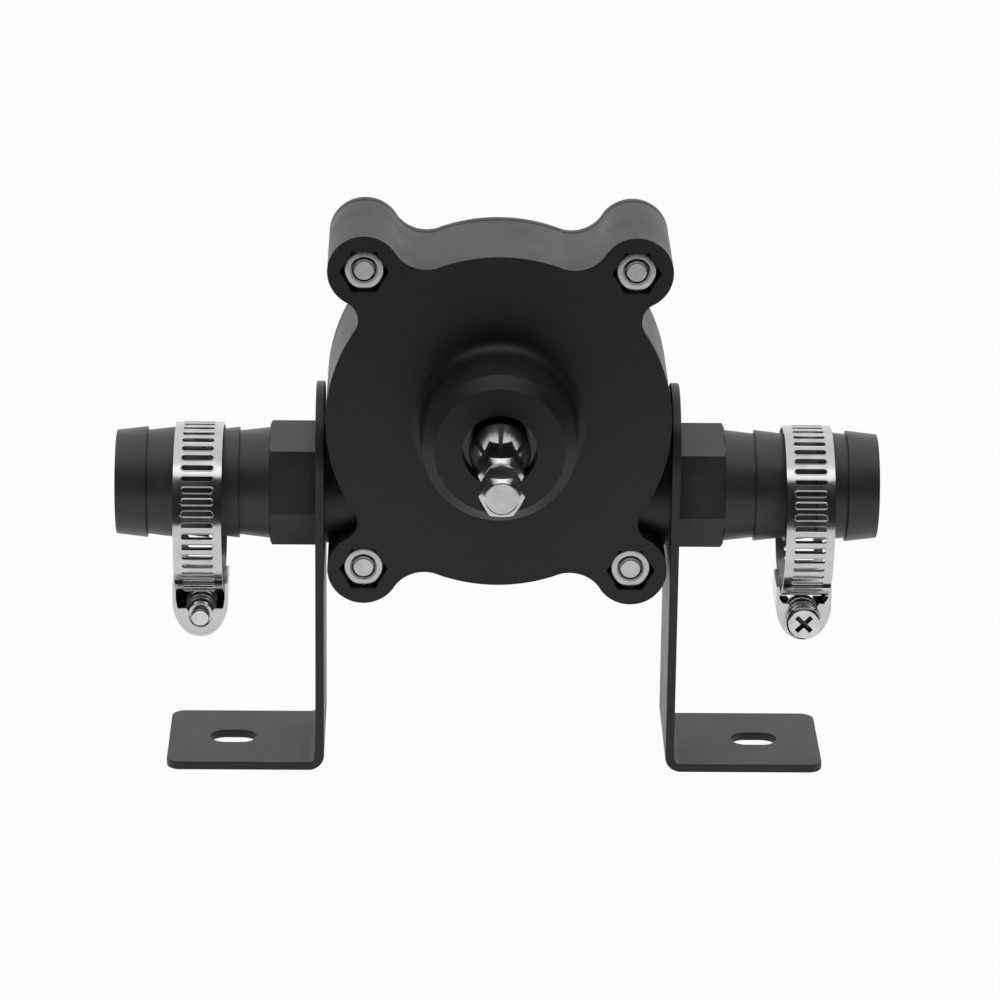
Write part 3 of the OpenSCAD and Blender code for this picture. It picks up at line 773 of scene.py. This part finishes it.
def band_ring(radius, cells):
    """Part of a perforated ring about the X axis, cells pitches long, centred at its foot."""
    bm = bmesh.new()
    band_cell(bm, radius)
    wrap(bm, radius)
    step = 2 * math.pi / SLOTS
    bmesh.ops.spin(
        bm,
        geom=list(bm.verts) + list(bm.edges) + list(bm.faces),
        cent=(0, 0, 0),
        axis=(1, 0, 0),
        angle=step * (cells - 1),
        steps=cells - 1,
        use_duplicate=True,
    )
    start = math.pi - step * (cells - 1) / 2
    bmesh.ops.rotate(bm, matrix=Matrix.Rotation(start, 3, "X"), verts=bm.verts)
    bmesh.ops.remove_doubles(bm, verts=bm.verts, dist=BAND_MERGE)
    return bm


def clamp_band(side):
    """The perforated band: a full ring, and the loose end that laps over it past the worm."""
    bm = band_ring(BAND_R, SLOTS)
    lap = band_ring(BAND_R + BAND_T + LAP_GAP, LAP_SLOTS)
    open_ends = [edge for edge in lap.edges if len(edge.link_faces) == 1]
    bmesh.ops.holes_fill(lap, edges=open_ends, sides=0)
    gather(bm, lap)
    bmesh.ops.translate(bm, vec=(CLAMP_X[side], 0, LOOP_Z), verts=bm.verts)
    nodes = [f"{side}_clamp_band"]
    piece(f"{side}_band", bm, f"{side}_clamp", STAINLESS, nodes, smooth=18)


SHELL_T = 0.8
SHELL_HALF_LEN = 6.5
SHELL_HALF_W = 6.95
SHELL_TOP = 8.9

# Half of the shell's section below its straight side, as distance from the screw's axis across
# and up, and the section's lowest point
SHELL_SIDE = [
    (SHELL_HALF_W, 3.0),
    (6.65, 1.2),
    (6.1, -0.4),
    (5.4, -1.9),
    (4.5, -3.2),
    (3.4, -4.2),
    (2.3, -4.85),
    (1.15, -5.2),
]
SHELL_BOTTOM = [(0.0, -5.3)]
SADDLE_R = 20.4
SADDLE_ANGLE = 18
SADDLE_STEP = 3

# End walls: their size against the shell's section, how far they stand in from its ends, the
# half width of their ears and the drop inside them, the shoulders and the slot of each
WALL_SHARE = 0.95
WALL_INSET = 0.05
EAR_HALF_W = (6.6, 6.2, 5.8, 5.3)
EAR_STEP = 0.6
SHOULDER_W = 0.5
SHOULDER_DROP = 0.7
ARC_STEP = 15
TAIL_SLOT = {"low": 1.9, "high": 5.2, "half": 2.9}
NECK_SLOT = {"low": 4.3, "high": 5.6, "half": 3.45}


def mirrored(side, middle=()):
    """A row of points from the left over the middle to the right, from its right half."""
    return [(-x, z) for x, z in side] + list(middle) + list(reversed(side))


def sheet(bm, path, along, thickness):
    """Sheet metal: a path of points swept along a vector and thickened."""
    part = bmesh.new()
    row = [part.verts.new(place) for place in path]
    edges = [part.edges.new(pair) for pair in zip(row, row[1:])]
    bmesh.ops.translate(part, vec=along, verts=extend(part, edges)[1])
    bmesh.ops.recalc_face_normals(part, faces=part.faces)
    bmesh.ops.solidify(part, geom=list(part.faces), thickness=thickness)
    gather(bm, part)


def end_plate(bm, front, slot):
    """An end wall inside the shell, with a round-bottomed slot for the screw, open at the top."""
    part = bmesh.new()
    low, high, half = slot["low"], slot["high"], slot["half"]
    inner_side = [(WALL_SHARE * x, WALL_SHARE * z) for x, z in SHELL_SIDE]
    inner_bottom = [(WALL_SHARE * x, WALL_SHARE * z) for x, z in SHELL_BOTTOM]
    rim = list(zip(EAR_HALF_W, (high, high, low + EAR_STEP, low)))
    rim += [(half + SHOULDER_W, low), (half, low - SHOULDER_DROP)]
    arc = [math.radians(step) for step in range(0, 91, ARC_STEP)]
    rim += [(half * math.cos(angle), -half * math.sin(angle)) for angle in arc]
    top = list(reversed(mirrored(rim[:-1], rim[-1:])))
    outline = [(x, front, z) for x, z in mirrored(inner_side, inner_bottom) + top]
    row = [part.verts.new(place) for place in outline]
    edges = [part.edges.new(pair) for pair in zip(row, row[1:] + row[:1])]
    face = bmesh.ops.triangle_fill(part, edges=edges, use_beauty=True)["geom"]
    faces = [item for item in face if isinstance(item, bmesh.types.BMFace)]
    swept = bmesh.ops.extrude_face_region(part, geom=faces)["geom"]
    moved = [item for item in swept if isinstance(item, bmesh.types.BMVert)]
    bmesh.ops.translate(part, vec=(0, SHELL_T, 0), verts=moved)
    gather(bm, part)


def clamp_shell(side):
    """The folded shell round the worm: sides and floor, an end wall at either end, and a saddle."""
    bm = bmesh.new()
    section = mirrored([(SHELL_HALF_W, SHELL_TOP)] + SHELL_SIDE, SHELL_BOTTOM)
    wrapped = [(x, -SHELL_HALF_LEN, z) for x, z in section]
    sheet(bm, wrapped, (0, 2 * SHELL_HALF_LEN, 0), SHELL_T)
    end_plate(bm, WALL_INSET - SHELL_HALF_LEN, NECK_SLOT)
    end_plate(bm, SHELL_HALF_LEN - SHELL_T - WALL_INSET, TAIL_SLOT)
    steps = range(-SADDLE_ANGLE, SADDLE_ANGLE + 1, SADDLE_STEP)
    angles = [math.radians(step) for step in steps]
    half = SHELL_HALF_W - SHELL_T / 2
    rise = LOOP_Z - SCREW_Z
    saddle = [(-half, SADDLE_R * math.sin(a), rise - SADDLE_R * math.cos(a)) for a in angles]
    sheet(bm, saddle, (2 * half, 0, 0), -SHELL_T)
    turn = Matrix.Rotation(math.pi if side == "left" else 0, 3, "Z")
    bmesh.ops.rotate(bm, matrix=turn, verts=bm.verts)
    bmesh.ops.translate(bm, vec=(CLAMP_X[side], 0, SCREW_Z), verts=bm.verts)
    nodes = [f"{side}_clamp_shell"]
    piece(f"{side}_shell", bm, f"{side}_clamp", STAINLESS, nodes, smooth=30)


# ---------- the pieces ----------

finished("pump_housing", "chamber_body", NYLON)
finished("nose_housing", "nose_body", NYLON)
finished("rear_cover", "rear_cover_plate", NYLON, width=0.5)
finished("cover_gasket", "cover_gasket_sheet", GASKET)
bolts()
finished("bolt_washers", "washers", ZINC, width=0.2)
nuts()
for side in ("left", "right"):
    barb = f"{side}_barb"
    finished(barb, f"{side}_hose_barb", BARB_NYLON, width=0.25, angle=18)
    bracket = f"{side}_bracket"
    finished(bracket, f"{side}_foot_bracket", COAT, width=0.35, angle=40)
    clamp_band(side)
    clamp_shell(side)
    screw = f"{side}_clamp_screw"
    finished(screw, f"{side}_screw", SCREW_STEEL[side], width=0.15)
    finished(f"{side}_port_seal", f"{side}_port_washer", SEAL)
drive_shaft()
finished("bearing_outer_race", "outer_race", BEARING)
finished("bearing_inner_race", "inner_race", FRONT_SHADED_BEARING)
finished("bearing_shields", "shields", SHIELD)
finished("bearing_ring", "retaining_ring", SPRING)
finished("bearing_balls", "balls", BEARING)
finished("bearing_cage", "cage", BRASS)
finished("shaft_seal", "lip_seal", SEAL)
finished("seal_spring", "garter_spring", SPRING)
finished("wear_plate", "chamber_wear_plate", PLATE)
finished("rear_bush", "cover_bush", BRONZE)
finished("impeller_hub", "hub_insert", BRONZE)
finished("impeller", "vane_impeller", IMPELLER)
finished("hub_pin", "hub_cross_pin", SPRING)


# ---------- studio ----------

# Sizes of the studio in metres
TABLE_R = 6
TABLE_SIDES = 64
FLAG_NEAR = 0.5
FLAG_FAR = 2.2
FLAG_FOOT = 0.002
FLAG_TOP = 5.0
FLAG_STEPS = 56
PUMP_MIDDLE = (0, 0, 0.07)
CAMERA_PLACE = (-0.01955, -1.1561, 0.4875)

# Millimetres
LENS = 176.5
SENSOR_W = 36

# Degrees: how far the flag goes round the pump, and how the camera is turned
FLAG_SWEEP = 210
CAMERA_YAW = 1.01
CAMERA_PITCH = 20.0
CAMERA_ROLL = 0.7


def seen_directly(tree):
    """1 for the camera and for rays from metal or glass, 0 for the light that falls on pieces."""
    path = add(tree, "ShaderNodeLightPath")
    share = path.outputs["Is Camera Ray"]
    for ray in ("Is Glossy Ray", "Is Transmission Ray"):
        inputs = {0: share, 1: path.outputs[ray]}
        share = add(tree, "ShaderNodeMath", inputs, operation="MAXIMUM").outputs[0]
    return share


WHITE = "#ffffff"
DARK = "#2c2c2d"
TABLE_PAINT = "#b8b8b8"
TABLE_GLOW = 0.96
WALL_LIGHT = 0.9

# Where the room turns from dark to light, as a share of the way up and of the way back
UP_FADE = (0.68, 0.86)
BACK_FADE = (-0.15, 0.45)


def studio_world():
    """White walls all round; the light that they throw comes from above and behind."""
    world = bpy.data.worlds.new("studio_room")
    bpy.context.scene.world = world
    world.use_nodes = True
    tree = world.node_tree
    tree.nodes.clear()
    place = add(tree, "ShaderNodeTexCoord").outputs["Generated"]
    heading = add(tree, "ShaderNodeSeparateXYZ", {"Vector": place}).outputs
    fades = [
        add(tree, "ShaderNodeMapRange", dict(zip(RANGE, (value, *fade, 0, 1)))).outputs[0]
        for value, fade in ((heading["Z"], UP_FADE), (heading["Y"], BACK_FADE))
    ]
    lit = add(tree, "ShaderNodeMath", dict(enumerate(fades)), operation="MAXIMUM").outputs[0]
    ends = {MIX_FIRST: linear(DARK), MIX_SECOND: linear(WHITE)}
    room = add(tree, "ShaderNodeMix", {"Factor": lit, **ends}, data_type="RGBA")
    colour = room.outputs[MIX_RESULT]
    white = add(tree, "ShaderNodeBackground", {"Color": linear(WHITE), "Strength": 1.0})
    walls = add(tree, "ShaderNodeBackground", {"Color": colour, "Strength": WALL_LIGHT})
    shares = {0: seen_directly(tree), 1: walls.outputs[0], 2: white.outputs[0]}
    seen = add(tree, "ShaderNodeMixShader", shares)
    add(tree, "ShaderNodeOutputWorld", {"Surface": seen.outputs[0]})


def stage_piece(name, bm, surface):
    """A studio object with one shader; surface(tree) gives the shader."""
    mesh = bpy.data.meshes.new(name)
    bm.to_mesh(mesh)
    bm.free()
    made = bpy.data.objects.new(name, mesh)
    bpy.context.scene.collection.objects.link(made)
    paint = bpy.data.materials.new(name)
    paint.use_nodes = True
    paint.node_tree.nodes.clear()
    add(paint.node_tree, "ShaderNodeOutputMaterial", {"Surface": surface(paint.node_tree)})
    mesh.materials.append(paint)
    return made


def studio_floor():
    """A white table that takes a soft shadow."""

    def surface(tree):
        inputs = {0: seen_directly(tree), 1: TABLE_GLOW}
        share = add(tree, "ShaderNodeMath", inputs, operation="MULTIPLY").outputs[0]
        paint = add(tree, "ShaderNodeBsdfDiffuse", {"Color": linear(TABLE_PAINT)})
        glow = add(tree, "ShaderNodeEmission", {"Color": linear(WHITE), "Strength": 1.0})
        shares = {0: share, 1: paint.outputs[0], 2: glow.outputs[0]}
        return add(tree, "ShaderNodeMixShader", shares).outputs[0]

    bm = bmesh.new()
    bmesh.ops.create_circle(bm, cap_ends=True, segments=TABLE_SIDES, radius=TABLE_R)
    stage_piece("white_table", bm, surface)


def black_flag():
    """A dark card round the front, seen only as a reflection, that gives metal its dark bands."""

    def surface(tree):
        place = add(tree, "ShaderNodeTexCoord").outputs["Object"]
        split = add(tree, "ShaderNodeSeparateXYZ", {"Vector": place}).outputs
        fades = []
        for value, (start, end), reach in (
            (split["Z"], UP_FADE, FLAG_TOP),
            (split["Y"], BACK_FADE, FLAG_FAR),
        ):
            inputs = dict(zip(RANGE, (value, start * reach, end * reach, 1, 0)))
            fades.append(add(tree, "ShaderNodeMapRange", inputs).outputs[0])
        share = add(tree, "ShaderNodeMath", dict(enumerate(fades)), operation="MULTIPLY")
        dark = add(tree, "ShaderNodeEmission", {"Color": linear(DARK), "Strength": 1.0})
        clear = add(tree, "ShaderNodeBsdfTransparent")
        shares = {0: share.outputs[0], 1: clear.outputs[0], 2: dark.outputs[0]}
        return add(tree, "ShaderNodeMixShader", shares).outputs[0]

    bm = bmesh.new()
    corners = ((-FLAG_NEAR, FLAG_FOOT), (-FLAG_FAR, FLAG_FOOT), (-FLAG_FAR, FLAG_TOP))
    profile = [bm.verts.new((x, 0, z)) for x, z in corners]
    edges = [bm.edges.new(pair) for pair in zip(profile, profile[1:])]
    bmesh.ops.spin(
        bm,
        geom=profile + edges,
        cent=(0, 0, 0),
        axis=(0, 0, 1),
        angle=math.radians(FLAG_SWEEP),
        steps=FLAG_STEPS,
    )
    back = math.radians(180 - FLAG_SWEEP) / 2
    bmesh.ops.rotate(bm, matrix=Matrix.Rotation(back, 3, "Z"), verts=bm.verts)
    flag = stage_piece("black_flag", bm, surface)
    flag.visible_camera = False
    flag.visible_diffuse = False
    flag.visible_transmission = False
    flag.visible_shadow = False


def softbox(name, place, target, width, depth, watts, reflected=False):
    """A soft rectangular lamp that faces a point, and may show in what it lights."""
    lamp = bpy.data.lights.new(name, "AREA")
    lamp.shape = "RECTANGLE"
    lamp.size = width
    lamp.size_y = depth
    lamp.energy = watts
    box = bpy.data.objects.new(name, lamp)
    bpy.context.scene.collection.objects.link(box)
    box.location = place
    box.rotation_euler = (Vector(target) - Vector(place)).to_track_quat("-Z", "Y").to_euler()
    box.visible_glossy = reflected


def studio_camera():
    """A long lens, a little above the pump and turned a degree to the right."""
    yaw, pitch, roll = (math.radians(a) for a in (CAMERA_YAW, CAMERA_PITCH, CAMERA_ROLL))
    ahead = Vector(
        (math.sin(yaw) * math.cos(pitch), math.cos(yaw) * math.cos(pitch), -math.sin(pitch))
    )
    right = Vector((math.cos(yaw), -math.sin(yaw), 0))
    up = right.cross(ahead)
    camera_x = right * math.cos(roll) + up * math.sin(roll)
    camera_y = up * math.cos(roll) - right * math.sin(roll)
    camera = bpy.data.cameras.new("studio_camera")
    camera.lens = LENS
    camera.sensor_width = SENSOR_W
    camera.clip_start = 0.05
    holder = bpy.data.objects.new("studio_camera", camera)
    bpy.context.scene.collection.objects.link(holder)
    turn = Matrix((camera_x, camera_y, -ahead)).transposed().to_4x4()
    holder.matrix_world = Matrix.Translation(CAMERA_PLACE) @ turn
    bpy.context.scene.camera = holder


studio_world()
studio_floor()
black_flag()
softbox("ceiling_softbox", (0.0, 0.02, 1.1), (0, 0.02, 0.07), 1.3, 1.3, 9.6)
softbox("front_softbox", (0.0, -0.5, 1.3), PUMP_MIDDLE, 1.8, 0.4, 1.8, reflected=True)
softbox("left_softbox", (-0.9, 0.15, 0.45), PUMP_MIDDLE, 0.5, 0.8, 1.4)
softbox("right_softbox", (0.9, 0.15, 0.45), PUMP_MIDDLE, 0.5, 0.8, 1.4)
studio_camera()
bpy.context.scene.view_settings.view_transform = "Standard"
